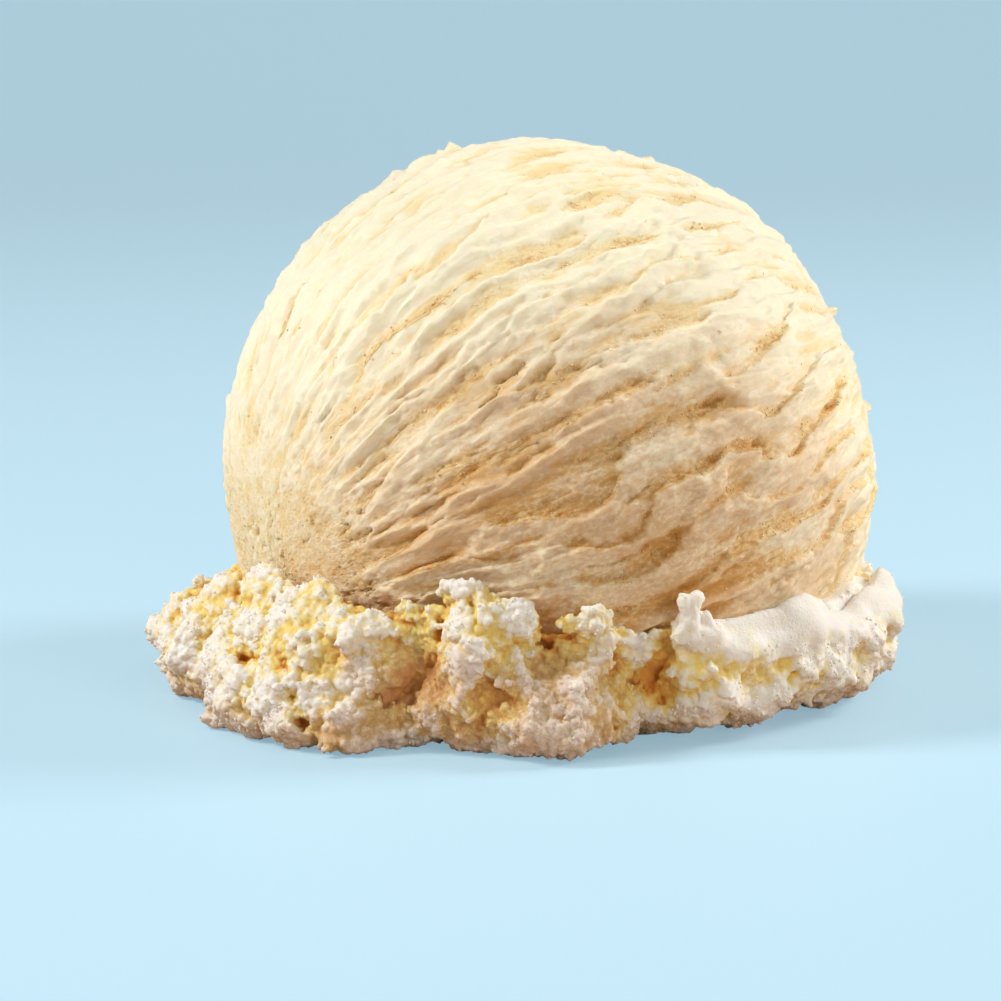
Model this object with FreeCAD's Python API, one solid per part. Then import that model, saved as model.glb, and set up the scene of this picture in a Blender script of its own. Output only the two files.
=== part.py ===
"""A single scoop of vanilla ice cream, as a disher leaves it.

A ball scraped round by the bowl of the scoop stands in a torn skirt, the collar of ice cream that
squeezed out under the rim. Ball and skirt are one piece of food, so they are one solid: a closed skin
over a flat foot.

Frame: millimetres, +Z up, the origin on the foot under the ball's centre, the front towards -Y.
Azimuths are degrees anticlockwise from +X, seen from above, so the front is at 270.
"""
import FreeCAD
import Part
import itertools
import math
import os

# ---- The ball ----
BALL_RADIUS = 32.5
BALL_CENTRE_HEIGHT = 21.0
BALL_BULGE = 0.7            # how far the ball is pushed out on its fuller side
BALL_BULGE_AZIMUTH = 190.0  # and where that side is, as an azimuth and degrees above level
BALL_BULGE_RISE = 50.0
BALL_SWELL = 0.35           # random strays from a true sphere
BALL_SWELL_SIZE = 15.0      # and how broad they are
TOP_CALM = 4.0              # degrees round the very top where the relief dies out, so all profiles meet

# ---- The scrape marks: the disher's blade turns about one axis and leaves furrows on its meridians ----
SCRAPE_AXIS_AZIMUTH = 207.0     # where the axis leaves the ball low down, at the front left
SCRAPE_AXIS_DROP = 13.0         # degrees below level at that end
FURROW_COUNT = 46
FURROW_DEPTH = 0.95
FURROW_EVENNESS = 0.65          # 1 makes every furrow as deep, less lets some of them fade
FURROW_WANDER = 0.6             # how far a furrow strays sideways, in furrow widths
FURROW_WANDER_SIZE = 12.0
FURROW_LEAN = 0.55              # above 0 the crests lean over like torn ledges
FURROW_FADE = 24.0              # degrees from the axis over which the furrows die out
TEAR_DEPTH = 0.7                # pits and tears between the furrows
TEAR_SIZE = 4.0

# ---- The torn skirt ----
# Each station is an azimuth, how far the skirt reaches past the ball's radius there, the height of its
# lip, the height of its furthest point, and how far the foot reaches past the ball's radius, which is
# less than nothing where the skirt overhangs.
SKIRT_STATIONS = (
    (0.0, 1.9, 11.5, 7.5, -2.5),
    (18.0, 2.1, 10.2, 6.0, -1.5),
    (42.0, 3.7, 10.8, 5.0, 0.5),
    (68.0, 2.5, 10.6, 5.5, -1.0),
    (95.0, 4.1, 12.0, 4.5, 1.5),
    (122.0, 3.1, 10.4, 5.0, -0.5),
    (150.0, 5.0, 9.6, 5.0, 1.8),
    (172.0, 6.7, 10.4, 5.2, 3.2),
    (188.0, 7.3, 11.2, 5.4, 3.6),
    (202.0, 6.1, 13.0, 4.6, 3.5),
    (218.0, 7.6, 15.4, 4.4, 5.8),
    (232.0, 6.9, 15.0, 4.0, 5.4),
    (246.0, 3.4, 14.8, 4.5, -0.6),
    (257.0, 3.1, 16.4, 5.5, -2.0),
    (270.0, 3.1, 15.4, 3.8, 0.3),
    (279.0, 2.1, 14.2, 4.0, -2.5),
    (287.0, 1.1, 13.2, 6.5, -6.0),
    (300.0, 1.9, 12.8, 7.6, -7.0),
    (315.0, 2.3, 12.6, 8.0, -7.0),
    (332.0, 2.5, 11.0, 8.0, -5.0),
    (346.0, 2.1, 12.0, 8.2, -3.0),
)
SKIRT_CLEFTS = (            # where two torn lumps meet: azimuth, depth, half width in degrees
    (58.0, 1.8, 4.5),
    (110.0, 2.2, 4.5),
    (138.0, 1.4, 4.0),
    (162.0, 1.6, 4.0),
    (207.0, 3.6, 3.4),
    (247.0, 1.0, 4.0),
    (285.0, 2.6, 3.6),
    (326.0, 1.0, 4.5),
)
SKIRT_FORMS = (             # big lumps, and hollows as minus: azimuth, height, how far out, half width
    (231.0, 12.0, 0.9, 5.5),
    (246.0, 7.0, -1.6, 4.5),
    (258.0, 12.5, 2.3, 3.8),
    (268.0, 9.5, -2.2, 4.2),
    (271.0, 4.5, 1.2, 5.0),
    (284.0, 8.0, -2.2, 2.6),
    (304.0, 9.5, 1.0, 4.0),
    (338.0, 9.0, 1.2, 5.0),
    (12.0, 5.0, -1.2, 4.0),
    (52.0, 9.0, 1.6, 5.0),
    (80.0, 6.0, -1.8, 5.0),
    (101.0, 9.0, 1.4, 4.5),
    (148.0, 4.0, 1.6, 6.0),
    (180.0, 8.0, 0.6, 5.0),
)
LIP_SPURS = (               # where a string of it stands up from the lip: azimuth, height, half width
    (292.0, 2.9, 1.9),
    (257.0, 1.2, 3.5),
    (84.0, 1.6, 3.0),
)
FOOT_TOES = (               # where a little of it ran out at the foot: azimuth, reach, half width
    (238.0, 4.0, 2.6),
    (212.0, 0.8, 4.0),
    (130.0, 2.0, 3.4),
    (30.0, 1.6, 3.0),
)
TOE_HEIGHT = 3.4            # how thick the toes are
CREASE_DEPTH = 3.4          # from the lip down into the fold between skirt and ball
CREASE_HOLLOW = 1.5         # exponent of the lip's inner face: 1 is straight, more is hollower
LIP_GAP = 2.1               # from the ball out to the crest of the lip
LIP_LEAST_WIDTH = 1.0       # from that crest out to the skirt's reach
LIP_BITE_SHARE = 0.55       # how much of a cleft's depth is also bitten out of the lip
SHOULDER_SQUARENESS = 1.3   # exponent of the outer face: 1 is an ellipse, more is hollower
LIP_RAGGEDNESS = 1.6        # the torn edge of the lip,
LIP_RAGGEDNESS_SIZE = 5.0   # and how long its teeth are
KNOB_HEIGHT = 2.6           # the crumbly knobs all over the skirt, each order half as big as the last
KNOB_SIZE = 5.6
KNOB_ORDERS = 2
KNOB_MIDDLE = 0.6           # the knob value that lies on the smooth form, so that the reaches hold
KNOB_SHARE_AT_LIP = 0.35    # how much of a knob is left at the thin crest of the lip
KNOB_SHARE_AT_FOOT = 0.45   # and at the edge of the foot
KNOB_RISE = 0.5             # how much a knob near the lip also lifts it

# ---- How finely the skin is drawn ----
AROUND = 240                # control points around the axis
ALONG_BALL = 56             # and down each profile, on the ball,
ALONG_LIP = 4               # up the inner face of the lip,
ALONG_SHOULDER = 18         # from the lip's crest to the furthest point,
ALONG_FOOT = 8              # and from there down to the foot
DEGREE = 3

NODE = "ice_cream_scoop"


def fraction(value):
    return value - math.floor(value)


def grain(i, j, k, seed):
    """A fixed random number from -1 to 1 for each corner of a cubic lattice."""
    return 2 * fraction(math.sin(i * 12.9898 + j * 78.233 + k * 37.719 + seed * 53.147) * 43758.5453) - 1


def eased(share):
    return share * share * (3 - 2 * share)


def swelling(point, size, seed):
    """Smooth random hills from about -1 to 1 throughout space, each about size across."""
    cells = [math.floor(value / size) for value in point]
    inside = [value / size - cell for value, cell in zip(point, cells)]
    total = 0.0
    for corner in itertools.product((0, 1), repeat=3):
        weight = 1.0
        slope = 0.0
        place = [cell + step for cell, step in zip(cells, corner)]
        for side in range(3):
            away = inside[side] - corner[side]
            weight *= eased(1 - abs(away))
            slope += away * grain(*place, seed + 0.3 * side)
        total += weight * slope
    return 1.6 * total


def lumps(point, size, orders, seed):
    """Hills in several sizes, each half the size and half the height of the last."""
    return sum(swelling(point, size / 2**order, seed + order) / 2**order for order in range(orders))


def knob(point, size, seed):
    """Rounded knobs packed side by side, 1 at the middle of each and about 0.2 in the creases."""
    cells = [math.floor(value / size) for value in point]
    nearest = 1.0
    for step in itertools.product((-1, 0, 1), repeat=3):
        place = [cell + shift for cell, shift in zip(cells, step)]
        apart = [value / size - cell - 0.5 - 0.4 * grain(*place, seed + 0.3 * side)
                 for side, (value, cell) in enumerate(zip(point, place))]
        nearest = min(nearest, sum(value * value for value in apart))
    return 1 - nearest


def knob_relief(point):
    """Knobs upon knobs, in millimetres over the smooth form of the skirt."""
    return KNOB_HEIGHT * sum(
        (knob(point, KNOB_SIZE / 2**order, 31 + order) - KNOB_MIDDLE) / 2**order
        for order in range(KNOB_ORDERS)
    )


def direction(azimuth, polar):
    """The unit vector at an azimuth and an angle down from straight up, both in radians."""
    return FreeCAD.Vector(
        math.sin(polar) * math.cos(azimuth),
        math.sin(polar) * math.sin(azimuth),
        math.cos(polar),
    )


UP = FreeCAD.Vector(0, 0, 1)
BULGE_SIDE = direction(math.radians(BALL_BULGE_AZIMUTH), math.radians(90 - BALL_BULGE_RISE))
SCRAPE_AXIS = direction(math.radians(SCRAPE_AXIS_AZIMUTH), math.radians(90 + SCRAPE_AXIS_DROP))
SCRAPE_ZERO = SCRAPE_AXIS.cross(UP).normalize()
SCRAPE_QUARTER = SCRAPE_AXIS.cross(SCRAPE_ZERO)


def scrape_relief(outward):
    """Height of the scraped surface over the smooth ball, zero at the crests of the furrows."""
    point = outward * BALL_RADIUS
    turn = math.atan2(outward * SCRAPE_QUARTER, outward * SCRAPE_ZERO)
    stray = FURROW_WANDER * lumps(point, FURROW_WANDER_SIZE, 2, seed=11)
    phase = turn * FURROW_COUNT / 2 + math.pi * stray
    phase += FURROW_LEAN * math.sin(2 * phase) / 2
    from_axis = math.degrees(math.acos(min(1.0, abs(outward * SCRAPE_AXIS))))
    fade = eased(min(1.0, from_axis / FURROW_FADE))
    strength = FURROW_EVENNESS + (1 - FURROW_EVENNESS) * swelling(point, FURROW_WANDER_SIZE, seed=17)
    furrow = FURROW_DEPTH * strength * fade * abs(math.sin(phase))
    tear = TEAR_DEPTH * max(0.0, swelling(point, TEAR_SIZE, seed=23))
    return -furrow - tear


TOP_RELIEF = scrape_relief(UP)


def ball_point(azimuth, polar):
    """A point of the ball's skin."""
    outward = direction(azimuth, polar)
    shown = eased(min(1.0, math.degrees(polar) / TOP_CALM))
    out = BALL_BULGE * (outward * BULGE_SIDE)
    out += BALL_SWELL * swelling(outward * BALL_RADIUS, BALL_SWELL_SIZE, seed=5)
    out += shown * scrape_relief(outward) + (1 - shown) * TOP_RELIEF
    return FreeCAD.Vector(0, 0, BALL_CENTRE_HEIGHT) + outward * (BALL_RADIUS + out)


def degrees_apart(azimuth, place):
    """How many degrees an azimuth in radians lies past a place in degrees, from -180 to 180."""
    return (math.degrees(azimuth) - place + 180) % 360 - 180


def station_value(azimuth, column):
    """A column of the skirt's stations at any azimuth, on one smooth closed curve through them all."""
    angle = math.degrees(azimuth) % 360
    count = len(SKIRT_STATIONS)
    index = max(i for i in range(count) if SKIRT_STATIONS[i][0] <= angle)
    near = [SKIRT_STATIONS[(index + step) % count] for step in (-1, 0, 1, 2)]
    places = [near[i][0] + 360 * ((index + step) // count) for i, step in enumerate((-1, 0, 1, 2))]
    values = [station[column] for station in near]
    span = places[2] - places[1]
    share = (angle - places[1]) / span
    slope_in = (values[2] - values[0]) / (places[2] - places[0]) * span
    slope_out = (values[3] - values[1]) / (places[3] - places[1]) * span
    return (values[1] * (2 * share**3 - 3 * share**2 + 1)
            + slope_in * (share**3 - 2 * share**2 + share)
            + values[2] * (3 * share**2 - 2 * share**3)
            + slope_out * (share**3 - share**2))


def bumps(azimuth, places):
    """The sum of some bell-shaped bumps around the ring, each an azimuth, a height and a half width."""
    return sum(height * math.exp(-((degrees_apart(azimuth, place) / half_width) ** 2))
               for place, height, half_width in places)


def form_relief(azimuth, reach, height):
    """How far the big lumps and hollows push the skirt out at a place on it."""
    total = 0.0
    for place, level, out, half_width in SKIRT_FORMS:
        along = math.radians(degrees_apart(azimuth, place)) * reach
        total += out * math.exp(-(along**2 + (height - level) ** 2) / half_width**2)
    return total


def skirt_point(azimuth, reach, height, share_out, share_up):
    """A point at a distance from the axis and a height, with its shares of lumps, knobs and toes added."""
    knobs = knob_relief(FreeCAD.Vector(reach * math.cos(azimuth), reach * math.sin(azimuth), height))
    toe = bumps(azimuth, FOOT_TOES) * eased(max(0.0, 1 - height / TOE_HEIGHT))
    radius = reach + share_out * (knobs + form_relief(azimuth, reach, height)) + toe
    return FreeCAD.Vector(radius * math.cos(azimuth), radius * math.sin(azimuth), height + share_up * knobs)


def lip_raggedness(azimuth):
    """How far the lip stands above its smooth line, with its spurs and torn edge."""
    rim = direction(azimuth, math.pi / 2) * BALL_RADIUS
    return bumps(azimuth, LIP_SPURS) + LIP_RAGGEDNESS * lumps(rim, LIP_RAGGEDNESS_SIZE, 2, seed=41)


def inner_lip_points(azimuth, crease, crest):
    """From the crease up to the lip's crest, both given as (reach, height), without either end."""
    points = []
    for step in range(1, ALONG_LIP):
        share = step / ALONG_LIP
        reach = crease[0] + (crest[0] - crease[0]) * share**CREASE_HOLLOW
        height = crease[1] + (crest[1] - crease[1]) * share
        points.append(skirt_point(azimuth, reach, height, 0.0, KNOB_SHARE_AT_LIP * KNOB_RISE * share))
    return points


def outer_face_points(azimuth, crest, widest):
    """From the lip's crest out and down to just above the furthest point."""
    points = []
    for step in range(ALONG_SHOULDER):
        turn = math.pi / 2 * step / ALONG_SHOULDER
        out = math.sin(turn) ** SHOULDER_SQUARENESS
        down = math.cos(turn) ** SHOULDER_SQUARENESS
        reach = crest[0] + (widest[0] - crest[0]) * out
        height = widest[1] + (crest[1] - widest[1]) * down
        share_out = KNOB_SHARE_AT_LIP + (1 - KNOB_SHARE_AT_LIP) * out
        points.append(skirt_point(azimuth, reach, height, share_out, KNOB_RISE * down))
    return points


def underside_points(azimuth, widest, foot_reach):
    """From the furthest point down and in to the edge of the flat foot."""
    points = []
    for step in range(ALONG_FOOT):
        turn = math.pi / 2 * step / (ALONG_FOOT - 1)
        reach = foot_reach + (widest[0] - foot_reach) * math.cos(turn)
        height = widest[1] * (1 - math.sin(turn))
        share_out = KNOB_SHARE_AT_FOOT + (1 - KNOB_SHARE_AT_FOOT) * math.cos(turn)
        points.append(skirt_point(azimuth, reach, height, share_out, 0.0))
    return points


def profile(azimuth):
    """All control points down one profile, from the top of the ball to the edge of the foot."""
    cleft = bumps(azimuth, SKIRT_CLEFTS)
    lip_height = station_value(azimuth, 2) - LIP_BITE_SHARE * cleft
    crease_height = lip_height - CREASE_DEPTH
    crease_polar = math.acos((crease_height - BALL_CENTRE_HEIGHT) / BALL_RADIUS)
    crease_reach = BALL_RADIUS * math.sin(crease_polar)
    furthest = BALL_RADIUS + station_value(azimuth, 1) - cleft
    foot_reach = BALL_RADIUS + station_value(azimuth, 4) - cleft
    crest = (min(crease_reach + LIP_GAP, furthest - LIP_LEAST_WIDTH), lip_height + lip_raggedness(azimuth))
    widest = (furthest, station_value(azimuth, 3))
    ball = [ball_point(azimuth, crease_polar * step / ALONG_BALL) for step in range(ALONG_BALL + 1)]
    return (ball
            + inner_lip_points(azimuth, (crease_reach, crease_height), crest)
            + outer_face_points(azimuth, crest, widest)
            + underside_points(azimuth, widest, foot_reach))


def skin_face():
    """One smooth surface, closed around the axis, drawn by the profiles at even azimuths."""
    rows = [profile(2 * math.pi * step / AROUND) for step in range(AROUND)]
    top = rows[0][0]
    for row in rows:
        row[0] = top
        row[1].z = top.z        # level with the top, so that the surface is smooth there
    spans = len(rows[0]) - DEGREE
    surface = Part.BSplineSurface()
    surface.buildFromPolesMultsKnots(
        rows,
        [1] * (AROUND + 1),
        [DEGREE + 1] + [1] * (spans - 1) + [DEGREE + 1],
        list(range(AROUND + 1)),
        list(range(spans + 1)),
        True,
        False,
        DEGREE,
        DEGREE,
    )
    return surface.toShape()


def foot_face(skin):
    """The flat face inside the skin's lower edge."""
    edge = min(skin.Edges, key=lambda candidate: candidate.BoundBox.ZMax)
    return Part.Face(Part.Wire(edge))


def build_scoop():
    skin = skin_face()
    shell = Part.Shell([skin, foot_face(skin)])
    shell.sewShape()
    solid = Part.Solid(shell)
    if solid.Volume < 0:
        solid.reverse()
    return solid


def main():
    os.makedirs("parts", exist_ok=True)
    scoop = build_scoop()
    scoop.exportStep(os.path.join("parts", NODE + ".step"))
    box = scoop.BoundBox
    print("valid", scoop.isValid(), "closed", scoop.isClosed(), "faces", len(scoop.Faces))
    print("box", [round(v, 2) for v in (box.XMin, box.XMax, box.YMin, box.YMax, box.ZMin, box.ZMax)])


main()
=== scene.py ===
# %% [markdown]
# # A scoop of vanilla ice cream
#
# This lesson dresses a plain solid model of an ice cream scoop in Blender. The real thing is one lump of
# frozen foam with two faces. The ball was pressed round by the bowl of the scoop, so it is fairly smooth
# and carries furrows that all run towards one point. The skirt is what squeezed out under the rim and
# tore off, so it is all crumbs, pits and hollows.
#
# The solid model is loaded first and is not changed. It gives the size, the place and the big forms.

# %% Load the solid model
import math

import bpy
from mathutils import Matrix, Vector


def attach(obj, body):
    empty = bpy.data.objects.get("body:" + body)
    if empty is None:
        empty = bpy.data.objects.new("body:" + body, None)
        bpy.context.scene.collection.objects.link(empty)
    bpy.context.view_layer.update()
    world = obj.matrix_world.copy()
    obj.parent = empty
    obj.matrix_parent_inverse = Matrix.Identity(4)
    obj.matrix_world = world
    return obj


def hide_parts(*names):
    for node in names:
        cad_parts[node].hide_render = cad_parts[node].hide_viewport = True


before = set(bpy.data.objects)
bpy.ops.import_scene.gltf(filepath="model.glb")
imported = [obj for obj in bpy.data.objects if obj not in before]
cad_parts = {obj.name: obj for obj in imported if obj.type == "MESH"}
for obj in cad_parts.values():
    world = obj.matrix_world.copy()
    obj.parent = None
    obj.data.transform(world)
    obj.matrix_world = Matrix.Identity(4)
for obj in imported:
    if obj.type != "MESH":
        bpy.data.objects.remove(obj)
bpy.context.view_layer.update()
cad_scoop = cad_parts["ice_cream_scoop"]

MM = 0.001
BALL_RADIUS = 32.5                      # in millimetres, as the solid model has them
BALL_CENTRE_HEIGHT = 21.0
BALL_CENTRE = Vector((0.0, 0.0, BALL_CENTRE_HEIGHT * MM))

# %% [markdown]
# ## Writing node trees as sums
#
# Every shape and every finish here is a field, a value that is worked out anew at each point. Fields are
# drawn as node trees, and a tree with a hundred wires is hard to read as code. A small class helps: it
# wraps one output of a node and lets plain arithmetic make the next node. Shader trees and geometry trees
# share their math nodes, so one class serves both.

# %% A wire that does arithmetic
class Wire:
    """One output of a node. Arithmetic on it makes math nodes in the same tree."""

    def __init__(self, tree, socket):
        self.tree = tree
        self.socket = socket

    def is_vector(self):
        return self.socket.type in ("VECTOR", "RGBA")

    def math(self, operation, *others):
        return node(self.tree, "ShaderNodeMath", self, *others, operation=operation)

    def vector_math(self, operation, *others, output=0):
        return node(self.tree, "ShaderNodeVectorMath", self, *others, operation=operation, output=output)

    def both(self, operation, other):
        return self.vector_math(operation, other) if self.is_vector() else self.math(operation, other)

    def __add__(self, other):
        return self.both("ADD", other)

    def __sub__(self, other):
        return self.both("SUBTRACT", other)

    def __rsub__(self, other):
        return node(self.tree, "ShaderNodeMath", other, self, operation="SUBTRACT")

    def __mul__(self, other):
        by_parts = isinstance(other, tuple) or (isinstance(other, Wire) and other.is_vector())
        if self.is_vector() and not by_parts:
            made = node(self.tree, "ShaderNodeVectorMath", self, operation="SCALE")
            plug(self.tree, made.socket.node.inputs["Scale"], other)
            return made
        return self.both("MULTIPLY", other)

    def __truediv__(self, other):
        return self.both("DIVIDE", other)

    def __rtruediv__(self, other):
        return node(self.tree, "ShaderNodeMath", other, self, operation="DIVIDE")

    def __pow__(self, other):
        return self.math("POWER", other)

    __radd__ = __add__
    __rmul__ = __mul__


# %% Plugging values in and making nodes
def plug(tree, socket, value):
    """Puts a wire or a plain value on a socket."""
    if isinstance(value, Wire):
        tree.links.new(value.socket, socket)
    elif value is not None:
        socket.default_value = value


def node(tree, kind, *inputs, output=0, named=None, **settings):
    """Makes a node, sets it up, plugs its inputs in order and by name, and returns one of its outputs."""
    made = tree.nodes.new(kind)
    for name, value in settings.items():
        setattr(made, name, value)
    for socket, value in zip(made.inputs, inputs):
        plug(tree, socket, value)
    for name, value in (named or {}).items():
        plug(tree, made.inputs[name], value)
    return Wire(tree, made.outputs[output])


# %% Parts, measures and blends
def xyz(vector):
    """The three parts of a vector."""
    split = node(vector.tree, "ShaderNodeSeparateXYZ", vector).socket.node
    return [Wire(vector.tree, socket) for socket in split.outputs]


def joined(tree, x, y, z):
    return node(tree, "ShaderNodeCombineXYZ", x, y, z)


def dot(first, second):
    return first.vector_math("DOT_PRODUCT", second, output="Value")


def length(vector):
    return vector.vector_math("LENGTH", output="Value")


def smooth_step(value, low, high):
    """0 below low, 1 above high and an easy curve between."""
    return node(value.tree, "ShaderNodeMapRange", interpolation_type="SMOOTHSTEP",
                named={"Value": value, "From Min": low, "From Max": high})


def blend(share, low, high):
    return low + (high - low) * share


def mixed(share, first, second):
    """Two colours mixed by a share from 0 to 1."""
    made = node(share.tree, "ShaderNodeMix", data_type="RGBA", output=2)
    for socket, value in zip((0, 6, 7), (share, first, second)):     # the sockets that mix colours
        plug(share.tree, made.socket.node.inputs[socket], value)
    return made


print("wires can add, multiply, split, step and mix")

# %% [markdown]
# ## The camera
#
# Food is shot with a long lens from just above the table, so the ball looks round and the skirt shows its
# front. A wide lens close by would be easier to place, but it would swell the ball. So the camera stands
# well back, is tipped down a little, and is aimed beside the ball rather than shifted.

# %% Camera
CAMERA_DISTANCE = 400 * MM
CAMERA_RISE = math.radians(10.5)
AIM_OFFSET = Vector((-5.15, -2.75)) * MM        # right and up in the picture, from the ball's centre
SENSOR_WIDTH = 36.0
LENS_LENGTH = 143.9
camera_data = bpy.data.cameras.new("camera")
camera_data.sensor_width = SENSOR_WIDTH
camera_data.lens = LENS_LENGTH
camera_data.clip_start = 0.02
camera = bpy.data.objects.new("camera", camera_data)
bpy.context.scene.collection.objects.link(camera)
camera_turn = Matrix.Rotation(math.radians(90) - CAMERA_RISE, 3, "X")
aim = BALL_CENTRE + camera_turn @ Vector((AIM_OFFSET.x, AIM_OFFSET.y, 0.0))
camera_place = aim + camera_turn @ Vector((0, 0, CAMERA_DISTANCE))
camera.matrix_world = Matrix.Translation(camera_place) @ camera_turn.to_4x4()
bpy.context.scene.camera = camera
bpy.context.scene.view_settings.view_transform = "Standard"
print("camera at", [round(value, 3) for value in camera_place])

# %% [markdown]
# ## The floor
#
# A studio table for food is one sheet that curves up behind the subject, so no edge shows. Two planes
# would leave a line where they meet, so the sheet is one profile drawn out sideways. It is pale blue to
# the camera. The light it throws back is warm, or the blue would tint the cream, and Light Path tells the
# material which of the two is wanted.

# %% Floor and backdrop in one sweep
FLOOR_SIZE = 1.6
FLOOR_DEPTH = 0.45                          # where the sheet begins to curve up, behind the scoop
SWEEP_RADIUS = 0.35
SWEEP_STEPS = 12
FLOOR_COLOUR = (0.30, 0.42, 0.50, 1.0)
FLOOR_LIFT = (0.24, 0.38, 0.46, 1.0)        # light added for the camera only, so that the backdrop stays pale
FLOOR_BOUNCE = (0.50, 0.42, 0.36, 1.0)      # warm, so that the pale blue doesn't tint the food
BLACK = (0.0, 0.0, 0.0, 1.0)


def floor_profile():
    """Points (y, z) of the sheet: level, then a quarter circle, then upright."""
    bends = [math.radians(90.0 * step / SWEEP_STEPS) for step in range(1, SWEEP_STEPS + 1)]
    curve = [(FLOOR_DEPTH + SWEEP_RADIUS * math.sin(bend), SWEEP_RADIUS * (1 - math.cos(bend)))
             for bend in bends]
    return [(-FLOOR_SIZE, 0.0), (FLOOR_DEPTH, 0.0), *curve, (FLOOR_DEPTH + SWEEP_RADIUS, FLOOR_SIZE)]


def floor_finish():
    material = bpy.data.materials.new("pale_floor")
    material.use_nodes = True
    tree = material.node_tree
    shader = tree.nodes["Principled BSDF"]
    seen = node(tree, "ShaderNodeLightPath", output="Is Camera Ray")
    tree.links.new(mixed(seen, FLOOR_BOUNCE, FLOOR_COLOUR).socket, shader.inputs["Base Color"])
    tree.links.new(mixed(seen, BLACK, FLOOR_LIFT).socket, shader.inputs["Emission Color"])
    shader.inputs["Emission Strength"].default_value = 1.0
    shader.inputs["Roughness"].default_value = 0.6
    return material


profile = floor_profile()
floor_mesh = bpy.data.meshes.new("floor")
corners = [(side * FLOOR_SIZE, y, z) for y, z in profile for side in (-1, 1)]
strips = [(2 * i, 2 * i + 1, 2 * i + 3, 2 * i + 2) for i in range(len(profile) - 1)]
floor_mesh.from_pydata(corners, [], strips)
for face in floor_mesh.polygons:
    face.use_smooth = True
floor_mesh.materials.append(floor_finish())
floor = bpy.data.objects.new("floor", floor_mesh)
bpy.context.scene.collection.objects.link(floor)
print("floor of", len(strips), "strips")

# %% [markdown]
# ## The light
#
# Furrows only read when light grazes them. So the key lamp stands high on the left and a little to the
# front, and is fairly small. A second lamp stands on the right, just behind the scoop, and keeps that
# edge bright. A weak warm one fills the shade from the front, because shade inside ice cream is warm. The
# lamps are kept low enough that the palest crest doesn't turn plain white.

# %% Lamps
def soft_lamp(name, place, power, size, colour):
    """A square lamp that looks at the ball."""
    lamp_data = bpy.data.lights.new(name, "AREA")
    lamp_data.energy = power
    lamp_data.size = size
    lamp_data.color = colour
    lamp = bpy.data.objects.new(name, lamp_data)
    facing = (place - BALL_CENTRE).to_track_quat("Z", "Y").to_matrix().to_4x4()
    lamp.matrix_world = Matrix.Translation(place) @ facing
    bpy.context.scene.collection.objects.link(lamp)


NEAR_WHITE = (1.0, 0.98, 0.95)
WARM_WHITE = (1.0, 0.95, 0.86)
soft_lamp("key", Vector((-0.42, -0.10, 0.36)), 2.3, 0.13, NEAR_WHITE)
soft_lamp("fill", Vector((0.30, -0.46, 0.16)), 0.60, 0.18, WARM_WHITE)
soft_lamp("rim", Vector((0.42, 0.08, 0.30)), 1.8, 0.18, NEAR_WHITE)
world = bpy.data.worlds.new("studio")
bpy.context.scene.world = world
world.use_nodes = True
surroundings = world.node_tree.nodes["Background"]
surroundings.inputs["Color"].default_value = (1.0, 0.94, 0.84, 1.0)
surroundings.inputs["Strength"].default_value = 0.28
print("three lamps and the surroundings")

# %% [markdown]
# ## The unevenness of foam
#
# Nothing in torn ice cream repeats, and nothing in it is flat. Painted marks would have to be drawn for
# every side, while noise gives an endless, even-handed roughness that is worked out from the place alone.
# Three helpers name it by the size of its hills, so that a size can be read in millimetres.

# %% Noise by the size of its hills
HILL_SCALE = 2.6        # noise seldom leaves its middle, so this stretches it to about -1 to 1


def noise(place, size, detail=2.0, rough=0.5):
    """Soft noise from 0 to 1 whose hills are about size across, in the unit of place."""
    return node(place.tree, "ShaderNodeTexNoise", output="Fac",
                named={"Vector": place, "Scale": 1.0 / size, "Detail": detail, "Roughness": rough})


def hills(place, size, detail=2.0, rough=0.5):
    """The same noise from about -1 to 1."""
    return (noise(place, size, detail, rough) - 0.5) * HILL_SCALE


def hills_vector(place, size):
    """Three soft noises at once, as a vector of about -1 to 1, to stir another pattern with."""
    colour = node(place.tree, "ShaderNodeTexNoise", output="Color",
                  named={"Vector": place, "Scale": 1.0 / size, "Detail": 2.0})
    return (colour - (0.5, 0.5, 0.5)) * HILL_SCALE


def sized_tree(name, inputs, kind="GeometryNodeTree"):
    """A node tree with named inputs. Gives the tree and a wire for each input."""
    tree = bpy.data.node_groups.new(name, kind)
    for label, socket_type, value in inputs:
        socket = tree.interface.new_socket(label, in_out="INPUT", socket_type=socket_type)
        if value is not None:
            socket.default_value = value
    start = tree.nodes.new("NodeGroupInput")
    return tree, {label: Wire(tree, start.outputs[label]) for label, _, _ in inputs}


print("noise is stretched", HILL_SCALE, "times to make hills")

# %% [markdown]
# ## The look of frozen cream
#
# Vanilla ice cream is pale where the light catches a raised edge and goes straw yellow, then caramel, in
# the hollows, because light that gets into the foam comes back warmer. Here that light and shade is partly
# painted into the colour: the hollows take painted shade and the crests are painted paler, as lit, over
# the cream's own tones. All four finishes share that effect, so it is a node group. It mixes three colours
# by a value that each mesh carries, called relief, from 0 in the deepest hollow to 1 on the highest crest.
# It breaks the steps up with fine grain and thin streaks, and a second value, the painted shade, darkens
# what lies low or in shade with a colour of its own.

# %% Node group for the frozen foam
FOAM_INPUTS = (
    ("Place", "NodeSocketVector"), ("Relief", "NodeSocketFloat"), ("Damp", "NodeSocketFloat"),
    ("Crest", "NodeSocketColor"), ("Body", "NodeSocketColor"), ("Hollow", "NodeSocketColor"),
    ("Damp Color", "NodeSocketColor"), ("Middle", "NodeSocketFloat"), ("Grain Size", "NodeSocketFloat"),
    ("Speckle", "NodeSocketFloat"), ("Blotches", "NodeSocketFloat"), ("Blotch Size", "NodeSocketFloat"),
    ("Streaks", "NodeSocketFloat"), ("Streak Size", "NodeSocketFloat"), ("Crest Grain", "NodeSocketFloat"),
)


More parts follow.
